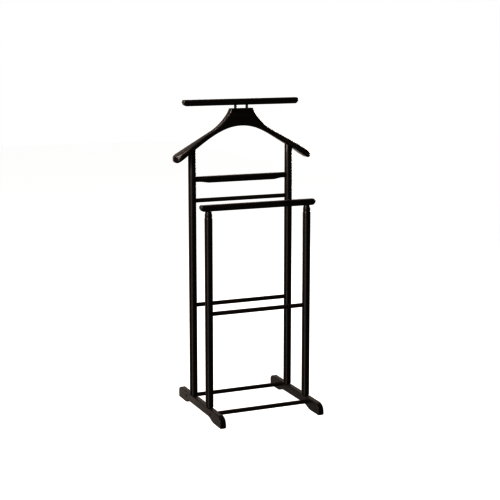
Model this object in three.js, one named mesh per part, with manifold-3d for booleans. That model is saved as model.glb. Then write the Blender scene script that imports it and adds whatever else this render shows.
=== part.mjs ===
import * as THREE from 'three';
import { LoftGeometry } from 'three/addons/geometries/LoftGeometry.js';
import { mergeVertices } from 'three/addons/utils/BufferGeometryUtils.js';
import Module from 'manifold-3d';

// Valet stand: two sled feet, two short front posts, two tall rear posts, rails, a trouser bar,
// a broad carved hanger and a top bar. Millimetres, +Z up, +X to the right, -Y is the front.
// The origin is on the floor, under the middle of the stand.

const wasm = await Module();
wasm.setup();

// --- overall sizes ---
const STAND_HEIGHT = 1007;
const POST_SPACING = 340;
const FRAME_SPACING = 141;

// --- stock ---
const POST_DIAMETER = 24.5;
const RAIL_DIAMETER = 12.5;
const BAR_HEIGHT = 19;
const BAR_DEPTH = 24;

// --- feet ---
const FOOT_HEIGHT = 36;
const FOOT_THICKNESS = 18.5;
const FOOT_ARCH = 10.5;
const FOOT_OVERHANG = 117;
const FOOT_ARRIS = 2;
const FOOT_HEEL = 4;
const FOOT_LENGTH = FRAME_SPACING + 2 * FOOT_OVERHANG;

// --- heights of the rails and bars, as shares of the whole height ---
const MIDDLE_RAIL_Z = STAND_HEIGHT * 0.338;
const TIE_RAIL_Z = STAND_HEIGHT * 0.679;
const TROUSER_BAR_Z = STAND_HEIGHT * 0.6745;
const UPPER_RAIL_Z = STAND_HEIGHT * 0.7455;

// --- shoe rails between the feet ---
const FLOOR_RAIL_Z = FOOT_ARCH + 11;
const REAR_FLOOR_RAIL_OUTSET = 45.5;
const FRONT_FLOOR_RAIL_OUTSET = 27.5;

// --- bars and hanger ---
const TOP_BAR_OVERHANG = 31;
const TROUSER_BAR_OVERHANG = 28;
const BAR_NOSE = 12;
const PIN_GAP = 11.5;
const PIN_SPACING = 40;
const PIN_DIAMETER = 8;
const NECK_HALF_WIDTH = 39;
const NECK_HEIGHT = 55.5;
const HANGER_OVERHANG = 69;
const HANGER_HALF = POST_SPACING / 2 + HANGER_OVERHANG;
const HANGER_REAR = 11;
const HANGER_FRONT = 15;
const SHOULDER_FRONT = 43;
const SHOULDER_REAR = 17;
const ARM_TOP_SLOPE = 0.568;
const ARM_UNDER_SLOPE = 0.612;
const SHOULDER_DROP = 71;
const ARM_THICKNESS = 22;
const ARM_SWELL = 2;
const TIP_DROP = 7;

// --- upper rail ---
const UPPER_RAIL_HEIGHT = 20;
const UPPER_RAIL_DEPTH = 28;
const UPPER_RAIL_RELIEF = 3.5;
const UPPER_RAIL_TENON = 11;

// --- fittings ---
const GAP = 0.3;
const SOCKET_DEPTH = POST_DIAMETER * 0.42;
const FOOT_SOCKET_DEPTH = FOOT_THICKNESS * 0.45;
const DOWEL_DIAMETER = 8;
const DOWEL_HALF_LENGTH = 14;
const DOWEL_IN_ARM = 8;
const BOLT_DIAMETER = 6;
const BOLT_HEAD_DIAMETER = 10;
const BOLT_HEAD_HEIGHT = 5;
const BOLT_REACH = 26;
const BOLT_RECESS = 7;
const INSERT_DIAMETER = 9.4;
const INSERT_LENGTH = 15;
const SCREW_DIAMETER = 4.5;
const SCREW_HEAD_DIAMETER = 8.5;
const SCREW_HEAD_HEIGHT = 3.5;
const SCREW_RECESS = 1;
const SCREW_REACH = 28;

// --- derived places ---
const POST_X = POST_SPACING / 2;
const REAR_Y = FRAME_SPACING / 2;
const FRONT_Y = -FRAME_SPACING / 2;
const HANGER_Y = REAR_Y;
const TOP_BAR_Y = REAR_Y + (HANGER_REAR - HANGER_FRONT) / 2;
const NECK_TOP_Z = STAND_HEIGHT - BAR_HEIGHT - PIN_GAP;
const CROWN_Z = NECK_TOP_Z - NECK_HEIGHT;
const SHOULDER_Z = NECK_TOP_Z - SHOULDER_DROP;
const SHOULDER_X = 104;
const SPRING_X = 113;
const POST_BASE_Z = FOOT_HEIGHT + GAP;
const FRONT_POST_TOP_Z = TROUSER_BAR_Z - BAR_HEIGHT / 2 - GAP;

const WOOD = { color: 0x1d1815, roughness: 0.38, metalness: 0 };
const STEEL = { color: 0x3a3a3c, roughness: 0.35, metalness: 0.9 };
const BRASS = { color: 0xb08d4a, roughness: 0.35, metalness: 0.9 };
const BEECH = { color: 0xcda67a, roughness: 0.6, metalness: 0 };

const group = new THREE.Group();
group.name = 'valet_stand';

function add( name, geometry, look ) {

	const mesh = new THREE.Mesh( geometry, new THREE.MeshStandardMaterial( look ) );
	mesh.name = name;
	group.add( mesh );

}

// --- solids ---

function solid( geometry ) {

	const bare = new THREE.BufferGeometry();
	bare.setAttribute( 'position', geometry.attributes.position );
	bare.setIndex( geometry.index );
	const merged = mergeVertices( bare, 1e-3 );
	const mesh = new wasm.Mesh( {
		numProp: 3,
		vertProperties: new Float32Array( merged.attributes.position.array ),
		triVerts: new Uint32Array( merged.index.array )
	} );
	return new wasm.Manifold( mesh );

}

function geometryOf( manifold ) {

	const mesh = manifold.getMesh();
	const geometry = new THREE.BufferGeometry();
	geometry.setAttribute( 'position', new THREE.BufferAttribute( new Float32Array( mesh.vertProperties ), 3 ) );
	geometry.setIndex( new THREE.BufferAttribute( new Uint32Array( mesh.triVerts ), 1 ) );
	const flat = geometry.toNonIndexed();
	flat.computeVertexNormals();
	return flat;

}

function carve( geometry, holes ) {

	let result = solid( geometry );
	for ( const hole of holes ) {

		result = result.subtract( solid( hole ) );

	}

	return geometryOf( result );

}

function join( geometry, additions ) {

	let result = solid( geometry );
	for ( const addition of additions ) {

		result = result.add( solid( addition ) );

	}

	return geometryOf( result );

}

// A round bar standing up, between two heights.
function upright( diameter, low, high, x, y, sides = 24 ) {

	const geometry = new THREE.CylinderGeometry( diameter / 2, diameter / 2, high - low, sides );
	geometry.rotateX( Math.PI / 2 );
	geometry.translate( x, y, ( low + high ) / 2 );
	return geometry;

}

// A round bar lying across the stand, between two x values.
function crossbar( diameter, low, high, y, z, sides = 24 ) {

	const geometry = new THREE.CylinderGeometry( diameter / 2, diameter / 2, high - low, sides );
	geometry.rotateZ( Math.PI / 2 );
	geometry.translate( ( low + high ) / 2, y, z );
	return geometry;

}

// A turned shape from radius and height pairs, standing at x, y.
function turned( profile, x, y, sides = 32 ) {

	const points = profile.map( ( [ radius, z ] ) => new THREE.Vector2( radius, z ) );
	const geometry = new THREE.LatheGeometry( points, sides );
	geometry.rotateX( Math.PI / 2 );
	geometry.translate( x, y, 0 );
	return geometry;

}

// One closed ring in a plane across the stand: a rectangle with rounded corners.
function ring( x, { back, front, top, bottom, radius } ) {

	const points = [];
	const middleY = ( back + front ) / 2;
	const middleZ = ( top + bottom ) / 2;
	const halfY = ( back - front ) / 2;
	const halfZ = ( top - bottom ) / 2;
	const bend = Math.min( radius, halfY * 0.96, halfZ * 0.96 );
	const steps = 4;
	for ( let corner = 0; corner < 4; corner ++ ) {

		const signY = corner === 0 || corner === 3 ? 1 : - 1;
		const signZ = corner < 2 ? 1 : - 1;
		for ( let i = 0; i <= steps; i ++ ) {

			const angle = ( corner + i / steps ) * Math.PI / 2;
			const y = middleY + signY * ( halfY - bend ) + bend * Math.cos( angle );
			const z = middleZ + signZ * ( halfZ - bend ) + bend * Math.sin( angle );
			points.push( new THREE.Vector3( x, y, z ) );

		}

	}

	return points;

}

function loft( stations, shape ) {

	const sections = stations.map( ( x ) => ring( x, shape( x ) ) );
	return new LoftGeometry( sections, { capStart: true, capEnd: true } );

}

function mirrored( half ) {

	const left = half.filter( ( x ) => x > 0 ).map( ( x ) => - x ).reverse();
	return [ ...left, ...half ];

}

function span( from, to, count ) {

	return Array.from( { length: count }, ( _, i ) => from + ( to - from ) * i / count );

}

function ease( x, from, to ) {

	return THREE.MathUtils.smoothstep( x, from, to );

}

// The height of a curve that runs steadily across, at one x.
function heightOn( curve, x ) {

	let low = 0;
	let high = 1;
	const rising = curve.getPoint( 1 ).x > curve.getPoint( 0 ).x;
	for ( let i = 0; i < 40; i ++ ) {

		const middle = ( low + high ) / 2;
		if ( ( curve.getPoint( middle ).x < x ) === rising ) low = middle;
		else high = middle;

	}

	return curve.getPoint( low ).y;

}

// --- hanger outline ---

function point( x, z ) {

	return new THREE.Vector2( x, z );

}

const flank = new THREE.CubicBezierCurve(
	point( NECK_HALF_WIDTH, NECK_TOP_Z ),
	point( NECK_HALF_WIDTH + 7, NECK_TOP_Z - 21 ),
	point( SHOULDER_X - 29, SHOULDER_Z + 29 * ARM_TOP_SLOPE ),
	point( SHOULDER_X, SHOULDER_Z )
);
const SPRING_Z = SHOULDER_Z - ARM_TOP_SLOPE * ( SPRING_X - SHOULDER_X ) - ARM_THICKNESS * 0.82;
const arch = new THREE.CubicBezierCurve(
	point( 0, CROWN_Z ),
	point( 42, CROWN_Z ),
	point( SPRING_X - 38, SPRING_Z + 38 * ARM_UNDER_SLOPE ),
	point( SPRING_X, SPRING_Z )
);
const TIP_Z = SHOULDER_Z - ARM_TOP_SLOPE * ( HANGER_HALF - SHOULDER_X ) - TIP_DROP;

function hangerTop( x ) {

	const away = Math.abs( x );
	if ( away <= NECK_HALF_WIDTH ) return NECK_TOP_Z;
	const line = away < SHOULDER_X ? heightOn( flank, away ) : SHOULDER_Z - ARM_TOP_SLOPE * ( away - SHOULDER_X );
	const past = Math.max( 0, away - HANGER_HALF + 10 ) / 10;
	return TIP_Z + ( line - TIP_Z ) * Math.sqrt( Math.max( 0, 1 - past * past ) );

}

function hangerUnder( x ) {

	const away = Math.abs( x );
	const straight = away < SPRING_X ? heightOn( arch, away ) : SPRING_Z - ARM_UNDER_SLOPE * ( away - SPRING_X );
	const line = straight - ARM_SWELL * ease( away, POST_X + 14, HANGER_HALF - 24 );
	const past = Math.max( 0, away - HANGER_HALF + 22 ) / 22;
	return TIP_Z - ( TIP_Z - line ) * Math.sqrt( Math.max( 0, 1 - past * past ) );

}

function hangerShape( x ) {

	const away = Math.abs( x );
	const tipY = HANGER_Y - SHOULDER_FRONT * 0.36;
	const round = Math.max( 0, away - HANGER_HALF + 20 ) / 20;
	const pull = Math.sqrt( Math.max( 0, 1 - round * round ) );
	const widen = ease( away, SHOULDER_X, HANGER_HALF - 16 );
	const front = HANGER_Y - HANGER_FRONT - ( SHOULDER_FRONT - HANGER_FRONT ) * widen;
	const back = HANGER_Y + HANGER_REAR + ( SHOULDER_REAR - HANGER_REAR ) * widen;
	return {
		back: tipY + ( back - tipY ) * pull,
		front: tipY + ( front - tipY ) * pull,
		top: hangerTop( x ),
		bottom: hangerUnder( x ),
		radius: 5 + 3 * ease( away, 50, SHOULDER_X )
	};

}

const hangerStations = mirrored( [
	0,
	...span( 18, NECK_HALF_WIDTH, 2 ),
	...span( NECK_HALF_WIDTH, SHOULDER_X, 12 ),
	...span( SHOULDER_X, HANGER_HALF - 22, 9 ),
	...span( HANGER_HALF - 22, HANGER_HALF - 4, 7 ),
	HANGER_HALF - 2,
	HANGER_HALF - 0.5
] );

// --- hanger, top bar and its two pins ---

const armDowelZ = hangerUnder( POST_X );
const pinLow = NECK_TOP_Z - PIN_DIAMETER * 2.4;
const pinHigh = STAND_HEIGHT - BAR_HEIGHT * 0.5;
const hangerHoles = [];
const barHoles = [];
for ( const side of [ - 1, 1 ] ) {

	const pinX = side * PIN_SPACING / 2;
	hangerHoles.push( upright( PIN_DIAMETER + 2 * GAP, pinLow, NECK_TOP_Z + 5, pinX, TOP_BAR_Y ) );
	barHoles.push( upright( PIN_DIAMETER + 2 * GAP, NECK_TOP_Z, pinHigh, pinX, TOP_BAR_Y ) );
	hangerHoles.push(
		upright( DOWEL_DIAMETER + 2 * GAP, armDowelZ - 20, armDowelZ + DOWEL_IN_ARM, side * POST_X, REAR_Y )
	);
	const sideName = side < 0 ? 'left' : 'right';
	add( `top_bar_pin_${ sideName }`, upright( PIN_DIAMETER, pinLow + GAP, pinHigh - GAP, pinX, TOP_BAR_Y ), WOOD );

}

add( 'hanger', carve( loft( hangerStations, hangerShape ), hangerHoles ), WOOD );

// A bar with a flat top and ends that curve up from below.
function bar( half, centreY, centreZ ) {

	const shape = ( x ) => {

		const inset = Math.max( 0, Math.abs( x ) - half + BAR_NOSE ) / BAR_NOSE;
		const lift = 1 - Math.sqrt( Math.max( 0, 1 - inset * inset ) );
		const drop = Math.max( 0, Math.abs( x ) - half + 4 ) / 4;
		const fall = 1 - Math.sqrt( Math.max( 0, 1 - drop * drop ) );
		return {
			back: centreY + BAR_DEPTH / 2 - 5 * fall,
			front: centreY - BAR_DEPTH / 2 + 5 * fall,
			top: centreZ + BAR_HEIGHT / 2 - 4 * fall,
			bottom: centreZ - BAR_HEIGHT / 2 + ( BAR_HEIGHT - 5.5 ) * lift,
			radius: 6
		};

	};
	const stations = mirrored( [
		...span( 0, half - BAR_NOSE, 2 ),
		...span( half - BAR_NOSE, half - 1, 7 ),
		half - 1,
		half
	] );
	return loft( stations, shape );

}

const topBar = bar( POST_X + TOP_BAR_OVERHANG, TOP_BAR_Y, STAND_HEIGHT - BAR_HEIGHT / 2 );
add( 'top_bar', carve( topBar, barHoles ), WOOD );

// --- trouser bar on the front posts ---

const trouserHoles = [ - 1, 1 ].map( ( side ) => upright(
	DOWEL_DIAMETER + 2 * GAP,
	FRONT_POST_TOP_Z - 5,
	FRONT_POST_TOP_Z + DOWEL_IN_ARM + 2,
	side * POST_X,
	FRONT_Y
) );
const trouserBar = bar( POST_X + TROUSER_BAR_OVERHANG, FRONT_Y, TROUSER_BAR_Z );
add( 'trouser_bar', carve( trouserBar, trouserHoles ), WOOD );

// --- rails ---

const railReach = POST_X - POST_DIAMETER / 2 + SOCKET_DEPTH - GAP;
const roundRails = [
	[ 'rear_tie_rail', REAR_Y, TIE_RAIL_Z ],
	[ 'rear_middle_rail', REAR_Y, MIDDLE_RAIL_Z ],
	[ 'front_middle_rail', FRONT_Y, MIDDLE_RAIL_Z ]
];
for ( const [ name, y, z ] of roundRails ) {

	add( name, crossbar( RAIL_DIAMETER, - railReach, railReach, y, z ), WOOD );

}

// The upper rail is deeper, keeps a straight top and is relieved below at both ends.
function upperRailShape( x ) {

	const neck = ease( Math.abs( x ), POST_X - 48, POST_X - 20 );
	const half = UPPER_RAIL_DEPTH / 2 - 5 * neck;
	return {
		back: REAR_Y + half,
		front: REAR_Y - half,
		top: UPPER_RAIL_Z + UPPER_RAIL_HEIGHT / 2,
		bottom: UPPER_RAIL_Z - UPPER_RAIL_HEIGHT / 2 + UPPER_RAIL_RELIEF * neck,
		radius: 8
	};

}

const upperTenonZ = UPPER_RAIL_Z + UPPER_RAIL_RELIEF / 2;
const upperStations = mirrored( [ 0, ...span( POST_X - 50, POST_X - 18, 8 ), POST_X - 18, POST_X - 5 ] );
const copes = [ - 1, 1 ].map( ( side ) => upright(
	POST_DIAMETER + 2 * GAP,
	UPPER_RAIL_Z - 40,
	UPPER_RAIL_Z + 40,
	side * POST_X,
	REAR_Y,
	32
) );
const copedRail = carve( loft( upperStations, upperRailShape ), copes );
const tenon = crossbar( UPPER_RAIL_TENON, - railReach, railReach, REAR_Y, upperTenonZ );
add( 'rear_upper_rail', join( copedRail, [ tenon ] ), WOOD );

// --- posts ---

function sockets( y, levels, side ) {

	const inner = side * ( POST_X - POST_DIAMETER );
	const end = side * ( POST_X - POST_DIAMETER / 2 + SOCKET_DEPTH );
	return levels.map( ( [ z, diameter ] ) =>
		crossbar( diameter + 2 * GAP, Math.min( inner, end ), Math.max( inner, end ), y, z ) );

}

function footHole( x, y ) {

	return upright( INSERT_DIAMETER + 2 * GAP, POST_BASE_Z - 5, POST_BASE_Z + BOLT_REACH + 4, x, y );

}

for ( const side of [ - 1, 1 ] ) {

	const sideName = side < 0 ? 'left' : 'right';
	const x = side * POST_X;
	const radius = POST_DIAMETER / 2;

	// The tall rear post is cut to the slope of the hanger arm that rests on it.
	const rear = turned( [
		[ 0, POST_BASE_Z ],
		[ radius - 0.8, POST_BASE_Z ],
		[ radius, POST_BASE_Z + 0.8 ],
		[ radius, armDowelZ + 30 ],
		[ 0, armDowelZ + 30 ]
	], x, REAR_Y );
	const wedge = new THREE.BoxGeometry( 120, 80, 60 );
	wedge.translate( 0, 0, 30 );
	wedge.rotateY( side * Math.atan( ARM_UNDER_SLOPE ) );
	wedge.translate( x, REAR_Y, armDowelZ - GAP * 1.2 );
	const rearDowelHole = upright(
		DOWEL_DIAMETER + 2 * GAP,
		armDowelZ - DOWEL_HALF_LENGTH - 8,
		armDowelZ + 40,
		x,
		REAR_Y
	);
	const rearSockets = sockets( REAR_Y, [
		[ MIDDLE_RAIL_Z, RAIL_DIAMETER ],
		[ TIE_RAIL_Z, RAIL_DIAMETER ],
		[ upperTenonZ, UPPER_RAIL_TENON ]
	], side );
	add( `rear_${ sideName }_post`, carve( rear, [ wedge, rearDowelHole, footHole( x, REAR_Y ), ...rearSockets ] ), WOOD );
	add( `hanger_dowel_${ sideName }`, upright(
		DOWEL_DIAMETER,
		armDowelZ - DOWEL_HALF_LENGTH - 8 + GAP,
		armDowelZ + DOWEL_IN_ARM - GAP,
		x,
		REAR_Y
	), BEECH );

	// The short front post is turned down to a rounded neck under the trouser bar.
	const neck = radius * 0.75;
	const front = turned( [
		[ 0, POST_BASE_Z ],
		[ radius - 0.8, POST_BASE_Z ],
		[ radius, POST_BASE_Z + 0.8 ],
		[ radius, FRONT_POST_TOP_Z - 26 ],
		[ radius * 0.985, FRONT_POST_TOP_Z - 20 ],
		[ radius * 0.94, FRONT_POST_TOP_Z - 13 ],
		[ radius * 0.86, FRONT_POST_TOP_Z - 6 ],
		[ neck, FRONT_POST_TOP_Z ],
		[ 0, FRONT_POST_TOP_Z ]
	], x, FRONT_Y );
	const frontDowelHole = upright(
		DOWEL_DIAMETER + 2 * GAP,
		FRONT_POST_TOP_Z - DOWEL_HALF_LENGTH - 8,
		FRONT_POST_TOP_Z + 10,
		x,
		FRONT_Y
	);
	const frontSockets = sockets( FRONT_Y, [ [ MIDDLE_RAIL_Z, RAIL_DIAMETER ] ], side );
	add( `front_${ sideName }_post`, carve( front, [ frontDowelHole, footHole( x, FRONT_Y ), ...frontSockets ] ), WOOD );
	add( `trouser_bar_dowel_${ sideName }`, upright(
		DOWEL_DIAMETER,
		FRONT_POST_TOP_Z - DOWEL_HALF_LENGTH - 8 + GAP,
		FRONT_POST_TOP_Z + DOWEL_IN_ARM + 2 - GAP,
		x,
		FRONT_Y
	), BEECH );

}

// --- feet ---

const footEnd = FOOT_LENGTH / 2;
const footProfile = new THREE.Shape();
footProfile.moveTo( footEnd - FOOT_HEEL, 0 );
footProfile.quadraticCurveTo( footEnd, 0, footEnd, FOOT_HEEL );
footProfile.lineTo( footEnd, FOOT_HEIGHT - 16 );
footProfile.bezierCurveTo(
	footEnd, FOOT_HEIGHT - 7,
	footEnd - 5, FOOT_HEIGHT,
	footEnd - 14, FOOT_HEIGHT
);
footProfile.lineTo( - footEnd + 28, FOOT_HEIGHT );
footProfile.bezierCurveTo(
	- footEnd + 13, FOOT_HEIGHT,
	- footEnd, FOOT_HEIGHT - 12,
	- footEnd, FOOT_HEIGHT - 26
);
footProfile.lineTo( - footEnd, FOOT_HEEL );
footProfile.quadraticCurveTo( - footEnd, 0, - footEnd + FOOT_HEEL, 0 );
footProfile.lineTo( - footEnd + 61, 0 );
footProfile.bezierCurveTo(
	- footEnd + 78, 2.5,
	- footEnd + 90, FOOT_ARCH,
	- footEnd + 107, FOOT_ARCH
);
footProfile.lineTo( footEnd - 99, FOOT_ARCH );
footProfile.bezierCurveTo(
	footEnd - 86, FOOT_ARCH,
	footEnd - 80, 0,
	footEnd - 63, 0
);
footProfile.closePath();

// Extruded along its thickness, then turned so that the profile's first axis runs front to back.
function footBoard( x ) {

	const geometry = new THREE.ExtrudeGeometry( footProfile, {
		depth: FOOT_THICKNESS - 2 * FOOT_ARRIS,
		curveSegments: 6,
		bevelEnabled: true,
		bevelThickness: FOOT_ARRIS,
		bevelSize: FOOT_ARRIS,
		bevelOffset: - FOOT_ARRIS,
		bevelSegments: 3
	} );
	geometry.rotateX( Math.PI / 2 );
	geometry.rotateZ( Math.PI / 2 );
	geometry.translate( x - FOOT_THICKNESS / 2 + FOOT_ARRIS, 0, 0 );
	return geometry;

}

const floorRails = [
	[ 'rear', REAR_Y + REAR_FLOOR_RAIL_OUTSET ],
	[ 'front', FRONT_Y - FRONT_FLOOR_RAIL_OUTSET ]
];
const innerFace = POST_X - FOOT_THICKNESS / 2;
const outerFace = POST_X + FOOT_THICKNESS / 2;
const floorRailReach = innerFace + FOOT_SOCKET_DEPTH - GAP;
const boltSeat = FOOT_ARCH + BOLT_RECESS;

function between( diameter, from, to, side, y, z ) {

	return crossbar( diameter, Math.min( side * from, side * to ), Math.max( side * from, side * to ), y, z );

}

for ( const side of [ - 1, 1 ] ) {

	const sideName = side < 0 ? 'left' : 'right';
	const x = side * POST_X;
	const holes = [];
	for ( const [ place, y ] of [ [ 'rear', REAR_Y ], [ 'front', FRONT_Y ] ] ) {

		holes.push( upright( BOLT_HEAD_DIAMETER + 2 * GAP, - 5, boltSeat, x, y ) );
		holes.push( upright( BOLT_DIAMETER + 2 * GAP, 0, FOOT_HEIGHT + 5, x, y ) );

		// Bolt with a socket in its head, up through the foot into the post.
		const boltTop = POST_BASE_Z + BOLT_REACH;
		const headLow = boltSeat - GAP - BOLT_HEAD_HEIGHT;
		const bolt = turned( [
			[ 0, headLow ],
			[ BOLT_HEAD_DIAMETER / 2 - 0.6, headLow ],
			[ BOLT_HEAD_DIAMETER / 2, headLow + 0.6 ],
			[ BOLT_HEAD_DIAMETER / 2, boltSeat - GAP ],
			[ BOLT_DIAMETER / 2, boltSeat - GAP ],
			[ BOLT_DIAMETER / 2, boltTop - 1 ],
			[ BOLT_DIAMETER / 2 - 1, boltTop ],
			[ 0, boltTop ]
		], x, y, 24 );
		const boltKey = upright( 5.6, headLow - 1, headLow + 3, x, y, 6 );
		add( `foot_bolt_${ place }_${ sideName }`, carve( bolt, [ boltKey ] ), STEEL );

		// Threaded sleeve pressed into the end of the post.
		const sleeveLow = POST_BASE_Z + 0.6;
		const sleeveHigh = sleeveLow + INSERT_LENGTH;
		const sleeve = upright( INSERT_DIAMETER, sleeveLow, sleeveHigh, x, y );
		const bore = upright( BOLT_DIAMETER + 2 * GAP, sleeveLow - 1, sleeveHigh + 1, x, y );
		add( `post_insert_${ place }_${ sideName }`, carve( sleeve, [ bore ] ), BRASS );

	}

	for ( const [ place, y ] of floorRails ) {

		const seat = outerFace - SCREW_RECESS - SCREW_HEAD_HEIGHT;
		holes.push( between( RAIL_DIAMETER + 2 * GAP, innerFace - 5, innerFace + FOOT_SOCKET_DEPTH, side, y, FLOOR_RAIL_Z ) );
		holes.push( between( SCREW_DIAMETER + 2 * GAP, innerFace, outerFace + 5, side, y, FLOOR_RAIL_Z ) );
		holes.push( between( SCREW_HEAD_DIAMETER + 2 * GAP, seat - GAP, outerFace + 5, side, y, FLOOR_RAIL_Z ) );

		// Screw through the foot into the end of the shoe rail.
		const head = between( SCREW_HEAD_DIAMETER, seat, seat + SCREW_HEAD_HEIGHT, side, y, FLOOR_RAIL_Z );
		const shank = between( SCREW_DIAMETER, seat - SCREW_REACH, seat + 1, side, y, FLOOR_RAIL_Z );
		const key = crossbar( 4.6, - 1.25, 1.25, y, FLOOR_RAIL_Z, 6 );
		key.translate( side * ( seat + SCREW_HEAD_HEIGHT ), 0, 0 );
		add( `shoe_rail_screw_${ place }_${ sideName }`, carve( join( head, [ shank ] ), [ key ] ), STEEL );

	}

	add( `${ sideName }_foot`, carve( footBoard( x ), holes ), WOOD );

}

// --- shoe rails ---

for ( const [ place, y ] of floorRails ) {

	const rail = crossbar( RAIL_DIAMETER, - floorRailReach, floorRailReach, y, FLOOR_RAIL_Z );
	const pilotEnd = outerFace - SCREW_RECESS - SCREW_HEAD_HEIGHT - SCREW_REACH - 2;
	const pilots = [ - 1, 1 ].map( ( side ) =>
		between( SCREW_DIAMETER + 2 * GAP, pilotEnd, floorRailReach + 5, side, y, FLOOR_RAIL_Z ) );
	add( `${ place }_shoe_rail`, carve( rail, pilots ), WOOD );

}

export default group;
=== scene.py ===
# %% [markdown]
# # A black valet stand
# A valet stand holds one outfit overnight. The jacket hangs on the broad hanger, the trousers over the low
# bar in front, a tie on the thin rail behind, and the shoes stand on the two rails between the feet. A
# plain engineering model already fixes where every part is and how big it is. This lesson loads that model
# as a frame, and then makes each part again as a finer piece in the same place, and gives it its finish.

# %% Load the fixed frame
import math

import bmesh
import bpy
from mathutils import Matrix, Vector
from mathutils.geometry import interpolate_bezier


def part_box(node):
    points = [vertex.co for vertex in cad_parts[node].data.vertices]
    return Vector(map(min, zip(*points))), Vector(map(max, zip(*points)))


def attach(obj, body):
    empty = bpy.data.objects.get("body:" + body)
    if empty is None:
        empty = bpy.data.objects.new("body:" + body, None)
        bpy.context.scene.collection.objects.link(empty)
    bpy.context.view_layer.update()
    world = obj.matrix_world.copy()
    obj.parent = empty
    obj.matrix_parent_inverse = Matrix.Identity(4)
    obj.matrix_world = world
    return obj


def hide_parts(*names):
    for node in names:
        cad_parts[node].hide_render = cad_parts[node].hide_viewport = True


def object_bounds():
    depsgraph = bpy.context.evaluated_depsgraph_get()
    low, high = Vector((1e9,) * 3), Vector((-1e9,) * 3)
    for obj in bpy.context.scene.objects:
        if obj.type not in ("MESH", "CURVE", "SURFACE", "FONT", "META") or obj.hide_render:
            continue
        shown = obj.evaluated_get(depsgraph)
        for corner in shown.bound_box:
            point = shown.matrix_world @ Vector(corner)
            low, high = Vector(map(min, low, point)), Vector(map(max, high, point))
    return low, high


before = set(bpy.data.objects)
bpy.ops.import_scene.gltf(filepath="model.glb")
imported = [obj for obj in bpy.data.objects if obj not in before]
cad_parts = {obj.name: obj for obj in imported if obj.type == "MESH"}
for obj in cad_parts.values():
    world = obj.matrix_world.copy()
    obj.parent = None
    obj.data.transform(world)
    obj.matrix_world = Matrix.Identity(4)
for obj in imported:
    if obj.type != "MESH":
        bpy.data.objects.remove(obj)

MM = 0.001
frame_low, frame_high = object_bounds()
stand_height = frame_high.z
print("the frame has", len(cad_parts), "parts and is", round(stand_height / MM), "mm high")

# %% [markdown]
# ## Measuring instead of typing
# Blender could hold every size as a typed number, but then a change to the frame would leave the pieces
# behind. So each place and size below is read from a part's box, and only small shapes that a box can't
# tell are typed.

# %% Read places and sizes from the frame
def centre_of(node):
    low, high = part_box(node)
    return (low + high) / 2


def size_of(node):
    low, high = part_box(node)
    return high - low


ALONG_X = Vector((1, 0, 0))
ALONG_Z = Vector((0, 0, 1))
GAP = 0.3 * MM
DRILL_EASE = 0.2 * MM

post_x = centre_of("rear_right_post").x
rear_y = centre_of("rear_right_post").y
front_y = centre_of("front_right_post").y
post_radius = size_of("front_right_post").x / 2
rail_radius = size_of("rear_tie_rail").z / 2
print("posts are", round(2 * post_radius / MM, 1), "mm thick, and stand", round(2 * post_x / MM), "mm apart")

# %% [markdown]
# ## From a worked mesh to a finished piece
# Every piece goes the same last steps. Points that the operators left doubled are merged, the faces are
# turned to look outwards, and the piece takes the place of its plain part and rides on the stand. Its faces
# are shaded smoothly up to a sharp edge, and a Weighted Normal modifier keeps the large flat faces flat
# beside their rounded edges. Without it a smooth shaded board looks like a pillow.

# %% Finish a piece
MERGE = 0.002 * MM
SHARP_ANGLE = math.radians(34)


def shade(piece):
    mesh = piece.data
    mesh.polygons.foreach_set("use_smooth", [True] * len(mesh.polygons))
    mesh.set_sharp_from_angle(angle=SHARP_ANGLE)


def clean(bm):
    bmesh.ops.remove_doubles(bm, verts=bm.verts, dist=MERGE)
    bmesh.ops.dissolve_degenerate(bm, edges=bm.edges, dist=MERGE)
    bmesh.ops.recalc_face_normals(bm, faces=bm.faces)


def keep(bm, name, node):
    """Makes the piece called name, which stands for one part of the frame."""
    clean(bm)
    mesh = bpy.data.meshes.new(name)
    bm.to_mesh(mesh)
    bm.free()
    piece = bpy.data.objects.new(name, mesh)
    bpy.context.scene.collection.objects.link(piece)
    shade(piece)
    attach(piece, "root")
    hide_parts(node)
    print("made", name, "with", len(mesh.polygons), "faces")
    return piece


def flatten_shading(piece):
    weighted = piece.modifiers.new("flat_faces_stay_flat", "WEIGHTED_NORMAL")
    weighted.keep_sharp = True
    weighted.weight = 100
    return piece

# %% [markdown]
# ## Turned wood
# Posts, rails, pins and dowels are turned on a lathe, so they are made the same way here. Half of the
# outline is drawn beside the axis, and the spin operator takes it once round. A cylinder from the menu
# would be quicker, but its ends would be knife sharp, and it couldn't hold the neck of the front posts.

# %% Spin a half outline into a turned solid
def turn(bm, outline, centre, along, steps=64):
    """Adds a turned solid. The outline is pairs of a radius and a place along the axis, from end to end."""
    across = Vector((0, 1, 0)) if along.x else Vector((1, 0, 0))
    foot = centre - along * centre.dot(along)
    verts = [bm.verts.new(foot + along * place + across * radius) for radius, place in outline]
    edges = [bm.edges.new(pair) for pair in zip(verts, verts[1:])]
    bmesh.ops.spin(bm, geom=verts + edges, cent=foot, axis=along, angle=2 * math.pi, steps=steps,
                   use_merge=True, use_duplicate=False)


def rod(radius, start, end, ease=0.6 * MM):
    """The half outline of a plain rod with eased ends."""
    return [
        (0, start), (radius - ease, start), (radius, start + ease),
        (radius, end - ease), (radius - ease, end), (0, end),
    ]

# %% [markdown]
# ## Boring, coping and joining
# Rails sit in bored sockets, dowels in bored holes, and bolts in counterbored ones. A drill is a turned
# solid too, so each hole is drawn as the outline of the drill that cuts it, and a Boolean modifier takes it
# out of the piece. The result is cleaned of slivers and stored in the piece at once, because a chain of
# live Booleans is slow and hard to check.

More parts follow.
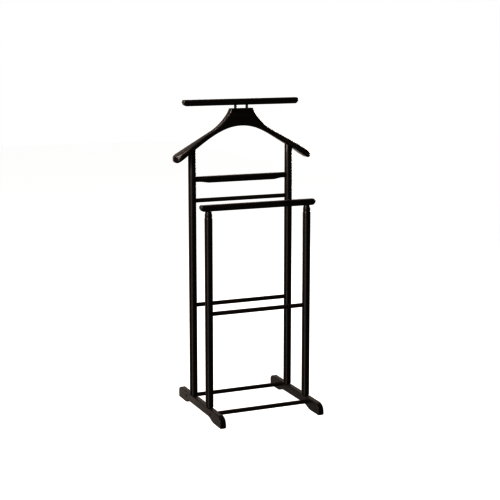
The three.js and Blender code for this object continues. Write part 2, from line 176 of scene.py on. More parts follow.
# %% Cut with tools, or join them on
def work(piece, tools, operation="DIFFERENCE"):
    """Cuts the tools out of a piece, or with UNION joins them to it, and stores the result in its mesh."""
    clean(tools)
    tool_mesh = bpy.data.meshes.new("tools")
    tools.to_mesh(tool_mesh)
    tools.free()
    tool = bpy.data.objects.new("tools", tool_mesh)
    bpy.context.scene.collection.objects.link(tool)
    boolean = piece.modifiers.new("work", "BOOLEAN")
    boolean.operation = operation
    boolean.solver = "EXACT"
    boolean.object = tool
    graph = bpy.context.evaluated_depsgraph_get()
    worked = bpy.data.meshes.new_from_object(piece.evaluated_get(graph))
    bm = bmesh.new()
    bm.from_mesh(worked)
    clean(bm)
    bm.to_mesh(worked)
    bm.free()
    piece.modifiers.clear()
    plain = piece.data
    piece.data = worked
    worked.name = piece.name
    bpy.data.meshes.remove(plain)
    bpy.data.objects.remove(tool)
    bpy.data.meshes.remove(tool_mesh)
    shade(piece)
    return piece

# %% [markdown]
# ## The posts
# Four round posts carry everything. The front pair is short, and is turned down to a soft neck with a
# shallow cove under the trouser bar. The rear pair is tall, and its tops are sawn to the slope of the
# hanger arms that rest on them. The outline has extra rings beside each socket, so that the bored edge
# stays crisp and the long smooth stretches stay smooth.

# %% Outlines of the posts
NECK_LENGTH = 26 * MM
NECK_SHARE = 0.25
NECK_CURVE = 2.05
COVE_PLACE = 7 * MM
COVE_WIDTH = 12 * MM
COVE_DEPTH = 0.9 * MM
post_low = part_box("rear_right_post")[0].z
front_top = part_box("front_right_post")[1].z
rear_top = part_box("rear_right_post")[1].z
RING = 9 * MM
POST_EASE = 0.8 * MM


def shank(top, levels):
    """The straight part of a post, with a ring above and below each socket level."""
    outline = [(0, post_low), (post_radius - POST_EASE, post_low), (post_radius, post_low + POST_EASE)]
    for level in sorted(levels):
        outline.append((post_radius, level - RING))
        outline.append((post_radius, level + RING))
    outline.append((post_radius, top))
    return outline


def neck(steps=26):
    """The turned neck. It leaves the shank smoothly, dips into a shallow cove, and draws in to its top."""
    outline = []
    for i in range(1, steps + 1):
        share = i / steps
        radius = post_radius * (1 - NECK_SHARE * share ** NECK_CURVE)
        beside_cove = abs(NECK_LENGTH * share - COVE_PLACE) / (COVE_WIDTH / 2)
        if beside_cove < 1:
            radius -= COVE_DEPTH * (1 + math.cos(math.pi * beside_cove)) / 2
        outline.append((radius, front_top - NECK_LENGTH * (1 - share)))
    outline.append((0, front_top))
    return outline


print("the front posts end", round(front_top / MM), "mm up, the rear posts", round(rear_top / MM), "mm up")

# %% Drills for the sockets in a post
TENON_RADIUS = 5.5 * MM
TENON_LIFT = 1.75 * MM
BOLT_CLEARANCE = 4 * MM


def socket_drills(tools, rails, side):
    """One blind drill for each rail, from inside the stand to just past the rail's end."""
    for rail in rails:
        middle = centre_of(rail)
        radius = rail_radius
        if rail == "rear_upper_rail":
            radius = TENON_RADIUS
            middle.z += TENON_LIFT
        start = side * (post_x - 2 * post_radius)
        end = side * (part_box(rail)[1].x + GAP)
        drill = rod(radius + GAP, min(start, end), max(start, end), DRILL_EASE)
        turn(tools, drill, middle, ALONG_X, 48)


def upright_drill(tools, node, low, high):
    """A drill as wide as the upright part called node, with the even gap round it."""
    turn(tools, rod(size_of(node).x / 2 + GAP, low, high, DRILL_EASE), centre_of(node), ALONG_Z, 48)

# %% Turn and bore the four posts
ARM_UNDER_SLOPE = 0.612
SIDES = {"left": -1, "right": 1}
turned_posts = []


def saw_to_arm(bm, side, y):
    """Saws the top of a rear post to the slope of the arm, and closes and eases the cut."""
    everything = bm.verts[:] + bm.edges[:] + bm.faces[:]
    inner_top = Vector((side * (post_x - post_radius), y, rear_top))
    sawn = bmesh.ops.bisect_plane(bm, geom=everything, plane_co=inner_top, clear_outer=True,
                                  plane_no=Vector((side * ARM_UNDER_SLOPE, 0, 1)))
    rim = [part for part in sawn["geom_cut"] if isinstance(part, bmesh.types.BMEdge)]
    bmesh.ops.holes_fill(bm, edges=rim, sides=0)
    bmesh.ops.bevel(bm, geom=rim, offset=0.4 * MM, offset_type="OFFSET", affect="EDGES", segments=2,
                    profile=0.5, material=-1)


for side_name, side in SIDES.items():
    for place, y in (("rear", rear_y), ("front", front_y)):
        node = f"{place}_{side_name}_post"
        rails = ["front_middle_rail"]
        if place == "rear":
            rails = ["rear_middle_rail", "rear_tie_rail", "rear_upper_rail"]
        levels = [centre_of(rail).z for rail in rails]
        bm = bmesh.new()
        if place == "rear":
            outline = shank(rear_top + 2 * RING, levels) + [(0, rear_top + 2 * RING)]
        else:
            outline = shank(front_top - NECK_LENGTH, levels) + neck()
        turn(bm, outline, Vector((side * post_x, y, 0)), ALONG_Z, 96)
        clean(bm)
        if place == "rear":
            saw_to_arm(bm, side, y)
        post = keep(bm, f"turned_{node}", node)
        tools = bmesh.new()
        socket_drills(tools, rails, side)
        dowel = f"hanger_dowel_{side_name}" if place == "rear" else f"trouser_bar_dowel_{side_name}"
        upright_drill(tools, dowel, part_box(dowel)[0].z - GAP, stand_height)
        bolt_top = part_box(f"foot_bolt_{place}_{side_name}")[1].z
        upright_drill(tools, f"post_insert_{place}_{side_name}", 0, bolt_top + BOLT_CLEARANCE)
        turned_posts.append(work(post, tools))

# %% [markdown]
# ## The round rails
# Five thin rods tie the stand together: two shoe rails between the feet, a middle rail in each frame, and
# the tie rail. Each is a plain rod cut to length. Both shoe rails also get pilot holes for the screws that
# hold them.

# %% Turn the round rails
SCREW_RADIUS = 2.25 * MM
SCREW_HEAD_HEIGHT = 3.5 * MM
SCREW_SPARE = 2 * MM
turned_rails = []
for node in ("rear_tie_rail", "rear_middle_rail", "front_middle_rail", "rear_shoe_rail", "front_shoe_rail"):
    low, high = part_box(node)
    bm = bmesh.new()
    turn(bm, rod(rail_radius, low.x, high.x), centre_of(node), ALONG_X)
    rail = keep(bm, f"turned_{node}", node)
    if "shoe" in node:
        place = node.split("_")[0]
        tools = bmesh.new()
        for side_name, side in SIDES.items():
            screw_low, screw_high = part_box(f"shoe_rail_screw_{place}_{side_name}")
            tip = side * (min(abs(screw_low.x), abs(screw_high.x)) - SCREW_SPARE)
            past = side * (high.x + SCREW_SPARE)
            outline = rod(SCREW_RADIUS + GAP, min(tip, past), max(tip, past), DRILL_EASE)
            turn(tools, outline, centre_of(node), ALONG_X, 32)
        work(rail, tools)
    turned_rails.append(rail)

# %% [markdown]
# ## Rounded boards
# The feet, the bars and the hanger start as flat boards with a shaped outline and rounded-over edges. A
# board could be carved from a cube, but its outline is easier to draw. A few corners make one flat face, a
# vertex bevel rounds each corner by its own amount, extruding gives the thickness, and an edge bevel is the
# router that runs round both faces.

# %% Draw an outline, and make a board of it
def draw_outline(bm, corners, place):
    """A flat face from corners given as (u, v, rounding). place turns u and v into a point."""
    verts = [bm.verts.new(place(u, v)) for u, v, rounding in corners]
    face = bm.faces.new(verts)
    for vert, (u, v, rounding) in zip(verts, corners):
        if rounding:
            bmesh.ops.bevel(bm, geom=[vert], offset=rounding, offset_type="OFFSET", affect="VERTICES",
                            segments=14, profile=0.5, material=-1)
    return face


def make_board(bm, thickness, round_over, segments=5):
    """Extrudes the flat face by thickness, a vector, and rounds the edges of its two broad faces."""
    grown = bmesh.ops.extrude_face_region(bm, geom=bm.faces[:])
    moved = [part for part in grown["geom"] if isinstance(part, bmesh.types.BMVert)]
    bmesh.ops.translate(bm, verts=moved, vec=thickness)
    bmesh.ops.recalc_face_normals(bm, faces=bm.faces)
    direction = thickness.normalized()
    rim = [edge for edge in bm.edges
           if abs((edge.verts[0].co - edge.verts[1].co).dot(direction)) < 0.5 * thickness.length]
    bmesh.ops.bevel(bm, geom=rim, offset=round_over, offset_type="OFFSET", affect="EDGES",
                    segments=segments, profile=0.5, material=-1, clamp_overlap=False)

# %% [markdown]
# ## The feet
# Each foot is a long board on edge. Its back end has a square heel, its front end a rounded nose, and
# between its two pads a shallow arch lifts it off the floor, so that it stands firmly on an uneven floor.
# The edges are only slightly eased.

# %% Shape the two feet
foot_low, foot_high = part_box("right_foot")
foot_height = foot_high.z
foot_arch = 10.5 * MM
HEEL = 4 * MM
NOSE = 26.5 * MM
BACK_CORNER = 15 * MM
FOOT_ARRIS = 2 * MM
front_end, back_end = foot_low.y, foot_high.y
foot_corners = [
    (front_end, 0, HEEL),
    (front_end + 71 * MM, 0, 13.3 * MM),
    (front_end + 96 * MM, foot_arch, 13.3 * MM),
    (back_end - 91 * MM, foot_arch, 10.6 * MM),
    (back_end - 72 * MM, 0, 10.6 * MM),
    (back_end, 0, HEEL),
    (back_end, foot_height, BACK_CORNER),
    (front_end, foot_height, NOSE),
]
shaped_feet = []
for side_name, side in SIDES.items():
    node = f"{side_name}_foot"
    low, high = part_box(node)
    bm = bmesh.new()
    draw_outline(bm, foot_corners, lambda u, v: Vector((low.x, u, v)))
    make_board(bm, Vector((high.x - low.x, 0, 0)), FOOT_ARRIS, 4)
    shaped_feet.append(keep(bm, f"shaped_{node}", node))

# %% Bore the feet
BOLT_SHANK_RADIUS = 3 * MM
BOLT_HEAD_HEIGHT = 5 * MM
RAIL_SOCKET_DEPTH = 15 * MM
for foot, (side_name, side) in zip(shaped_feet, SIDES.items()):
    tools = bmesh.new()
    for place in ("rear", "front"):
        bolt = f"foot_bolt_{place}_{side_name}"
        head_radius = size_of(bolt).x / 2 + GAP
        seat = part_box(bolt)[0].z + BOLT_HEAD_HEIGHT + GAP
        thin = BOLT_SHANK_RADIUS + GAP
        stepped = [(0, -2 * MM), (head_radius, -2 * MM), (head_radius, seat), (thin, seat),
                   (thin, 2 * foot_height), (0, 2 * foot_height)]
        turn(tools, stepped, centre_of(bolt), ALONG_Z, 48)
        screw_low, screw_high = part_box(f"shoe_rail_screw_{place}_{side_name}")
        rail_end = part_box(f"{place}_shoe_rail")[1].x + GAP
        face = max(abs(screw_low.x), abs(screw_high.x))
        under_head = face - SCREW_HEAD_HEIGHT - GAP
        wide = size_of(f"shoe_rail_screw_{place}_{side_name}").y / 2 + GAP
        slim = SCREW_RADIUS + GAP
        stepped = [(0, rail_end - RAIL_SOCKET_DEPTH), (rail_radius + GAP, rail_end - RAIL_SOCKET_DEPTH),
                   (rail_radius + GAP, rail_end), (slim, rail_end), (slim, under_head),
                   (wide, under_head), (wide, face + 5 * MM), (0, face + 5 * MM)]
        stepped = [(radius, side * reach) for radius, reach in stepped]
        turn(tools, stepped, centre_of(f"{place}_shoe_rail"), ALONG_X, 48)
    work(foot, tools)
    flatten_shading(foot)
    print("bored", foot.name)

# %% [markdown]
# ## The two bars
# The top bar carries a scarf or a towel, and the trouser bar keeps a crease. Both are straight bars with
# well rounded edges, so that cloth doesn't mark, and with ends that curve up from below.

# %% Shape the bars
BAR_ROUND = 6 * MM
BAR_TOP_CORNER = 6.6 * MM
BAR_NOSE = 12.5 * MM
DRILL_START = 5 * MM
shaped_bars = []
for node, pegs in (
    ("top_bar", ["top_bar_pin_left", "top_bar_pin_right"]),
    ("trouser_bar", ["trouser_bar_dowel_left", "trouser_bar_dowel_right"]),
):
    low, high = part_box(node)
    corners = [
        (low.x, low.z, BAR_NOSE), (high.x, low.z, BAR_NOSE),
        (high.x, high.z, BAR_TOP_CORNER), (low.x, high.z, BAR_TOP_CORNER),
    ]
    bm = bmesh.new()
    draw_outline(bm, corners, lambda u, v: Vector((u, low.y, v)))
    make_board(bm, Vector((0, high.y - low.y, 0)), BAR_ROUND, 8)
    bar = keep(bm, f"shaped_{node}", node)
    tools = bmesh.new()
    for peg in pegs:
        upright_drill(tools, peg, low.z - DRILL_START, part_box(peg)[1].z + GAP)
    shaped_bars.append(flatten_shading(work(bar, tools)))

# %% [markdown]
# ## The two pins
# Two short pins lift the top bar off the hanger. They are dowels with eased ends, glued into both.

# %% Turn the pins
turned_pins = []
for node in ("top_bar_pin_left", "top_bar_pin_right"):
    low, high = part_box(node)
    bm = bmesh.new()
    turn(bm, rod(size_of(node).x / 2, low.z, high.z, 1 * MM), centre_of(node), ALONG_Z, 48)
    turned_pins.append(keep(bm, f"turned_{node}", node))

# %% [markdown]
# ## The upper rail
# The widest rail sits high between the rear posts, where a folded garment can lie over it. Its section is a
# soft oval. Near each post it narrows, its end is hollowed to fit round the post, and a round tenon goes
# on. A box is cut across at many places, those slices are drawn in near the ends, and a wide bevel rounds
# it.

# %% Shape the upper rail
RAIL_RELIEF = 3.6 * MM
RAIL_WAIST = 5 * MM
RAIL_ROUND = 7.6 * MM
WAIST_START = 58 * MM
WAIST_END = 22 * MM
SLICE_START = 60 * MM
SLICE_STEP = 2.5 * MM
rail_low, rail_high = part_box("rear_upper_rail")
rail_middle = (rail_low + rail_high) / 2


def ease_in(value, start, end):
    """Rises smoothly from 0 at start to 1 at end."""
    share = min(1, max(0, (value - start) / (end - start)))
    return share * share * (3 - 2 * share)


bm = bmesh.new()
bmesh.ops.create_cube(bm, size=1)
rail_reach = post_x - 5 * MM
rail_size = Vector((2 * rail_reach, rail_high.y - rail_low.y, rail_high.z - rail_low.z))
bmesh.ops.scale(bm, vec=rail_size, verts=bm.verts)
bmesh.ops.translate(bm, vec=Vector((0, rail_middle.y, rail_middle.z)), verts=bm.verts)
for step in range(18):
    for side in SIDES.values():
        slice_x = side * (post_x - SLICE_START + step * SLICE_STEP)
        everything = bm.verts[:] + bm.edges[:] + bm.faces[:]
        bmesh.ops.bisect_plane(bm, geom=everything, plane_co=(slice_x, 0, 0), plane_no=ALONG_X)
for vert in bm.verts:
    waist = ease_in(abs(vert.co.x), post_x - WAIST_START, post_x - WAIST_END)
    if vert.co.z < rail_middle.z:
        vert.co.z += RAIL_RELIEF * waist
    vert.co.y += RAIL_WAIST * waist * (-1 if vert.co.y > rail_middle.y else 1)
long_edges = [edge for edge in bm.edges if abs(edge.verts[0].co.x - edge.verts[1].co.x) > 1 * MM]
bmesh.ops.bevel(bm, geom=long_edges, offset=RAIL_ROUND, offset_type="OFFSET", affect="EDGES", segments=8,
                profile=0.5, material=-1)
upper_rail = keep(bm, "shaped_rear_upper_rail", "rear_upper_rail")

# %% Cope the ends and add the tenons
tools = bmesh.new()
for side in SIDES.values():
    cope = rod(post_radius + GAP, rail_low.z - RING, rail_high.z + RING)
    turn(tools, cope, Vector((side * post_x, rear_y, 0)), ALONG_Z, 96)
work(upper_rail, tools)
tools = bmesh.new()
tenon_centre = rail_middle + Vector((0, 0, TENON_LIFT))
turn(tools, rod(TENON_RADIUS, rail_low.x, rail_high.x), tenon_centre, ALONG_X, 48)
flatten_shading(work(upper_rail, tools, "UNION"))
print("the upper rail has", len(upper_rail.data.polygons), "faces after coping")

# %% [markdown]
# ## The hanger
# The hanger is the one carved piece. In front view it has a tall neck with hollow flanks, an arch below and
# two straight arms. From above the arms grow deeper towards their ends, to carry a jacket's shoulders, past
# the posts they swell a little below, and the ends are rounded off. So it is made in a carver's order: draw
# half of the outline, mirror it, cut the board, round its edges, and only then deepen and round the arms,
# slice by slice.

# %% Places on the hanger
hanger_low, hanger_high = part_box("hanger")
NECK_HEIGHT = 55.5 * MM
SHOULDER_DROP = 71 * MM
ARM_TOP_SLOPE = 0.568
ARM_THICKNESS = 18 * MM
hanger_half = hanger_high.x
neck_top = hanger_high.z
neck_half = 39 * MM
crown = neck_top - NECK_HEIGHT
shoulder_x = 104 * MM
shoulder = neck_top - SHOULDER_DROP
spring_x = 113 * MM
spring = shoulder - ARM_TOP_SLOPE * (spring_x - shoulder_x) - ARM_THICKNESS
arm_end_top = shoulder - ARM_TOP_SLOPE * (hanger_half - shoulder_x)
arm_end_under = spring - ARM_UNDER_SLOPE * (hanger_half - spring_x)
neck_back = rear_y + 11 * MM
neck_depth = 26 * MM
arm_back = hanger_high.y
arm_depth = hanger_high.y - hanger_low.y
print("the hanger is", round(2 * hanger_half / MM), "mm wide and its ends", round(arm_depth / MM), "mm deep")

# %% Draw half of the hanger, mirror it and make the board
def curve_between(start, start_handle, end_handle, end, count):
    """Places along one Bezier curve, without its two ends."""
    points = [Vector((x, 0, z)) for x, z in (start, start_handle, end_handle, end)]
    return [(p.x, p.z, 0) for p in interpolate_bezier(*points, count)][1:-1]


FLANK_PULL = 29 * MM
ARCH_PULL = 38 * MM
flank = curve_between(
    (neck_half, neck_top), (neck_half + 7 * MM, neck_top - 21 * MM),
    (shoulder_x - FLANK_PULL, shoulder + FLANK_PULL * ARM_TOP_SLOPE), (shoulder_x, shoulder), 14)
arch = curve_between(
    (spring_x, spring), (spring_x - ARCH_PULL, spring + ARCH_PULL * ARM_UNDER_SLOPE),
    (42 * MM, crown), (0, crown), 20)
NECK_CORNER = 1.2 * MM
TIP_TOP_CORNER = 5 * MM
TIP_UNDER_CORNER = 17.5 * MM
half_corners = [
    (0, neck_top, 0), (neck_half, neck_top, NECK_CORNER), *flank[1:], (shoulder_x, shoulder, 0),
    (hanger_half, arm_end_top, TIP_TOP_CORNER), (hanger_half, arm_end_under, TIP_UNDER_CORNER),
    (spring_x, spring, 0), *arch, (0, crown, 0),
]
front_face_y = neck_back - neck_depth
HANGER_ROUND = 7.5 * MM
bm = bmesh.new()
draw_outline(bm, half_corners, lambda u, v: Vector((u, front_face_y, v)))
bmesh.ops.mirror(bm, geom=bm.verts[:] + bm.edges[:] + bm.faces[:], axis="X", merge_dist=MERGE)
middle_edges = [edge for edge in bm.edges if all(abs(vert.co.x) < MERGE for vert in edge.verts)]
bmesh.ops.dissolve_edges(bm, edges=middle_edges, use_verts=False)
spare = [vert for vert in bm.verts if abs(vert.co.x) < MERGE and vert.co.z > neck_top - MERGE]
bmesh.ops.dissolve_verts(bm, verts=spare)
make_board(bm, Vector((0, neck_depth, 0)), HANGER_ROUND, 8)
print("the hanger board has", len(bm.faces), "faces")

# %% Deepen the arms and round their ends
END_ROUND = 20 * MM
ARM_SWELL = 2 * MM
arm_end_y = rear_y - 15.5 * MM
slices = [shoulder_x + step * 5 * MM for step in range(23)]
slices += [hanger_half - END_ROUND * (1 - math.sin(step * math.pi / 24)) for step in range(12)]
for slice_x in slices:
    for side in SIDES.values():
        everything = bm.verts[:] + bm.edges[:] + bm.faces[:]
        bmesh.ops.bisect_plane(bm, geom=everything, plane_co=(side * slice_x, 0, 0), plane_no=ALONG_X)
for vert in bm.verts:
    away = abs(vert.co.x)
    widen = ease_in(away, shoulder_x, hanger_half - 16 * MM)
    depth_share = (neck_back - vert.co.y) / neck_depth
    vert.co.y = neck_back + (arm_back - neck_back) * widen
    vert.co.y -= depth_share * (neck_depth + (arm_depth - neck_depth) * widen)
    arm_top = shoulder - ARM_TOP_SLOPE * (away - shoulder_x)
    arm_height = arm_top - spring + ARM_UNDER_SLOPE * (away - spring_x)
    swell = ARM_SWELL * ease_in(away, post_x + 14 * MM, hanger_half - 24 * MM)
    vert.co.z -= swell * (arm_top - vert.co.z) / arm_height
    past = 0.95 * max(0, away - hanger_half + END_ROUND) / END_ROUND
    vert.co.y = arm_end_y + (vert.co.y - arm_end_y) * math.sqrt(1 - past * past)
hanger = keep(bm, "carved_hanger", "hanger")

# %% Bore the hanger
tools = bmesh.new()
for side_name in SIDES:
    pin = f"top_bar_pin_{side_name}"
    dowel = f"hanger_dowel_{side_name}"
    upright_drill(tools, pin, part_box(pin)[0].z - GAP, stand_height)
    upright_drill(tools, dowel, arm_end_under - 60 * MM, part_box(dowel)[1].z + GAP)
flatten_shading(work(hanger, tools))
print("the hanger has", len(hanger.data.polygons), "faces after boring")

# %% [markdown]
# ## Screws and bolts
# Each shoe rail is held by a screw through the foot, whose head shows as a small dark disc on the outer
# face. A bolt goes up through the foot into each post. Both have a round head with a six-sided socket. The
# head starts as two rings, a round rim and a hexagon with as many points, which are bridged into one face.
# Then the hexagon is pushed down into the head, and the rim is drawn down and in to become the shank.

# %% Make a socket-head screw
TIP_EASE = 0.8 * MM
RIM_EASE = 0.5 * MM


def edges_of(parts):
    return [part for part in parts if isinstance(part, bmesh.types.BMEdge)]


def verts_of(parts):
    return [part for part in parts if isinstance(part, bmesh.types.BMVert)]


def socket_head(head_radius, head_height, key_radius, key_depth, shank_radius, length):
    """A screw that stands on its tip below the origin, with the face of its head at height 0."""
    bm = bmesh.new()
    rim = bmesh.ops.create_circle(bm, segments=48, radius=head_radius)["verts"]
    rim_edges = list({edge for vert in rim for edge in vert.link_edges})
    key = bmesh.ops.create_circle(bm, segments=6, radius=key_radius)["verts"]
    key_edges = list({edge for vert in key for edge in vert.link_edges})
    bmesh.ops.subdivide_edges(bm, edges=key_edges, cuts=7)
    key_edges = [edge for edge in bm.edges if edge not in rim_edges]
    bmesh.ops.bridge_loops(bm, edges=rim_edges + key_edges)
    pushed = bmesh.ops.extrude_edge_only(bm, edges=key_edges)["geom"]
    bmesh.ops.translate(bm, verts=verts_of(pushed), vec=(0, 0, -key_depth))
    bmesh.ops.holes_fill(bm, edges=edges_of(pushed), sides=0)
    ring = rim_edges
    shank_length = length - head_height - TIP_EASE
    for scale, drop in ((1, head_height), (shank_radius / head_radius, 0), (1, shank_length),
                        ((shank_radius - TIP_EASE) / shank_radius, TIP_EASE)):
        drawn = bmesh.ops.extrude_edge_only(bm, edges=ring)["geom"]
        bmesh.ops.scale(bm, vec=(scale, scale, 1), verts=verts_of(drawn))
        bmesh.ops.translate(bm, verts=verts_of(drawn), vec=(0, 0, -drop))
        ring = edges_of(drawn)
    bmesh.ops.holes_fill(bm, edges=ring, sides=0)
    clean(bm)
    eased = [edge for edge in bm.edges if all(
        vert.co.z > -MERGE and vert.co.to_2d().length > 0.98 * head_radius for vert in edge.verts)]
    bmesh.ops.bevel(bm, geom=eased, offset=RIM_EASE, offset_type="OFFSET", affect="EDGES", segments=3,
                    profile=0.5, material=-1)
    return bm

# %% Make the four screws and the four bolts
SCREW_KEY_RADIUS = 2.3 * MM
SCREW_KEY_DEPTH = 1.25 * MM
BOLT_KEY_RADIUS = 2.8 * MM
BOLT_KEY_DEPTH = 3 * MM
fasteners = []
for side_name, side in SIDES.items():
    for place in ("rear", "front"):
        node = f"shoe_rail_screw_{place}_{side_name}"
        low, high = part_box(node)
        bm = socket_head(size_of(node).y / 2, SCREW_HEAD_HEIGHT, SCREW_KEY_RADIUS, SCREW_KEY_DEPTH,
                         SCREW_RADIUS, size_of(node).x)
        outer_face = Vector((high.x if side > 0 else low.x, centre_of(node).y, centre_of(node).z))
        bmesh.ops.transform(bm, verts=bm.verts,
                            matrix=Matrix.Translation(outer_face) @ Matrix.Rotation(side * math.pi / 2, 4, "Y"))
        fasteners.append(keep(bm, f"socket_screw_{place}_{side_name}", node))
        node = f"foot_bolt_{place}_{side_name}"
        low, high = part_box(node)
        bm = socket_head(size_of(node).x / 2, BOLT_HEAD_HEIGHT, BOLT_KEY_RADIUS, BOLT_KEY_DEPTH,
                         BOLT_SHANK_RADIUS, size_of(node).z)
        under_face = Vector((centre_of(node).x, centre_of(node).y, low.z))
        bmesh.ops.transform(bm, verts=bm.verts,
                            matrix=Matrix.Translation(under_face) @ Matrix.Rotation(math.pi, 4, "X"))
        fasteners.append(keep(bm, f"socket_bolt_{place}_{side_name}", node))

# %% [markdown]
# ## Black stain on beech
# The wood is beech with a black stain and a satin lacquer. Up close the stain is not one flat black: it
# sits darker in the pores and fibres, varies gently from board to board, and has rubbed thin on the edges,
# where a little warm brown comes through. A scanned board could be wrapped round the pieces, but it would
# show seams. So the grain is built from noise in the wood's own space: a Mapping node lays the pattern
# along each piece and centres it there, and a second one stretches it along the fibres.

# %% Small helpers for node trees
def new_material(name):
    material = bpy.data.materials.new(name)
    material.use_nodes = True
    material.node_tree.nodes.clear()
    return material, material.node_tree


def add_node(tree, kind, values=(), **settings):
    """Adds a node. values are pairs of an input's name and either a plain value or another node's output."""
    node = tree.nodes.new(kind)
    for name, value in settings.items():
        setattr(node, name, value)
    for name, value in values:
        if isinstance(value, bpy.types.NodeSocket):
            tree.links.new(value, node.inputs[name])
        else:
            node.inputs[name].default_value = value
    return node


def span_of(tree, value, from_low, from_high, to_low, to_high):
    """Maps one range of values to another, held at both ends."""
    return add_node(tree, "ShaderNodeMapRange", (
        ("Value", value), ("From Min", from_low), ("From Max", from_high),
        ("To Min", to_low), ("To Max", to_high))).outputs["Result"]


def shade_between(tree, share, first, second):
    """A colour between two, by share."""
    mix = add_node(tree, "ShaderNodeMix", data_type="RGBA")
    tree.links.new(share, mix.inputs["Factor"])
    for place, colour in ((6, first), (7, second)):
        if isinstance(colour, bpy.types.NodeSocket):
            tree.links.new(colour, mix.inputs[place])
        else:
            mix.inputs[place].default_value = (*colour, 1)
    return mix.outputs[2]

# %% The grain of one piece
GRAIN_TURNS = {"X": (0, math.pi / 2, 0), "Y": (math.pi / 2, 0, 0), "Z": (0, 0, 0)}


def wood_space(tree, centre, direction):
    """Places on the piece, measured from its centre, with the fibres along the third axis."""
    place = add_node(tree, "ShaderNodeTexCoord").outputs["Object"]
    return add_node(tree, "ShaderNodeMapping", (
        ("Vector", place), ("Location", centre), ("Rotation", GRAIN_TURNS[direction])),
        vector_type="TEXTURE").outputs["Vector"]


def stretched(tree, space, across, along, shift=0):
    """Noise that is drawn out along the fibres: a period of across millimetres one way, along the other."""
    laid = add_node(tree, "ShaderNodeMapping", (
        ("Vector", space), ("Location", (shift, 2 * shift, 3 * shift)),
        ("Scale", (1 / (across * MM), 1 / (across * MM), 1 / (along * MM)))), vector_type="POINT")
    return add_node(tree, "ShaderNodeTexNoise", (
        ("Vector", laid.outputs["Vector"]), ("Scale", 1), ("Detail", 4), ("Roughness", 0.6),
        ("Distortion", 0.15))).outputs["Fac"]

# %% Black-stained beech under satin lacquer
STAIN_DARK = (0.0050, 0.0040, 0.0034)
STAIN_LIGHT = (0.0170, 0.0130, 0.0108)
RUBBED_BROWN = (0.060, 0.034, 0.020)


def black_stained_beech(name, centre, direction, seed):
    material, tree = new_material(name)
    space = wood_space(tree, centre, direction)
    fibres = stretched(tree, space, 1.6, 45, seed)
    flecks = stretched(tree, space, 0.55, 5, seed + 3)
    pores = stretched(tree, space, 0.32, 9, seed + 5)
    bands = stretched(tree, space, 9, 260, seed + 7)
    patches = stretched(tree, space, 60, 130, seed + 9)
    pore_depth = span_of(tree, pores, 0.58, 0.72, 0, 1)
    tone = add_node(tree, "ShaderNodeMath", ((0, fibres), (1, bands)), operation="MULTIPLY").outputs[0]
    tone = span_of(tree, tone, 0.12, 0.42, 0, 1)
    stain = shade_between(tree, tone, STAIN_DARK, STAIN_LIGHT)
    fleck_share = span_of(tree, flecks, 0.60, 0.78, 0, 0.5)
    stain = shade_between(tree, fleck_share, stain, STAIN_LIGHT)
    stain = shade_between(tree, span_of(tree, pore_depth, 0, 1, 0, 0.8), stain, STAIN_DARK)
    edges = add_node(tree, "ShaderNodeNewGeometry").outputs["Pointiness"]
    edges = span_of(tree, edges, 0.53, 0.62, 0, 1)
    rubbing = span_of(tree, patches, 0.40, 0.68, 0, 0.55)
    rubbed = add_node(tree, "ShaderNodeMath", ((0, edges), (1, rubbing)), operation="MULTIPLY").outputs[0]
    colour = shade_between(tree, rubbed, stain, RUBBED_BROWN)
    rough = span_of(tree, fibres, 0.3, 0.7, 0.33, 0.43)
    rough = add_node(tree, "ShaderNodeMath", (
        (0, rough), (1, span_of(tree, patches, 0.3, 0.7, -0.03, 0.05))), operation="ADD").outputs[0]
    rough = add_node(tree, "ShaderNodeMath", (
        (0, rough), (1, span_of(tree, pore_depth, 0, 1, 0, 0.12))), operation="ADD").outputs[0]
    height = add_node(tree, "ShaderNodeMath", (
        (0, fibres), (1, pore_depth)), operation="SUBTRACT").outputs[0]
    bump = add_node(tree, "ShaderNodeBump", (
        ("Height", height), ("Strength", 0.2), ("Distance", 0.04 * MM)))
    shader = add_node(tree, "ShaderNodeBsdfPrincipled", (
        ("Base Color", colour), ("Roughness", rough), ("Normal", bump.outputs["Normal"]),
        ("IOR", 1.5), ("Specular IOR Level", 0.4), ("Coat Weight", 0.15), ("Coat Roughness", 0.25),
        ("Coat IOR", 1.5)))
    add_node(tree, "ShaderNodeOutputMaterial", (("Surface", shader.outputs["BSDF"]),))
    return material


def middle_of(piece):
    corners = [Vector(corner) for corner in piece.bound_box]
    return sum(corners, Vector()) / len(corners)


grain_of = (
    [(post, "Z") for post in turned_posts + turned_pins]
    + [(piece, "X") for piece in turned_rails + shaped_bars + [upper_rail, hanger]]
    + [(foot, "Y") for foot in shaped_feet]
)
for number, (piece, direction) in enumerate(grain_of):
    finish = black_stained_beech(f"stain_{piece.name}", middle_of(piece), direction, 1.7 * number)
    piece.data.materials.clear()
    piece.data.materials.append(finish)
print("stained", len(grain_of), "pieces")
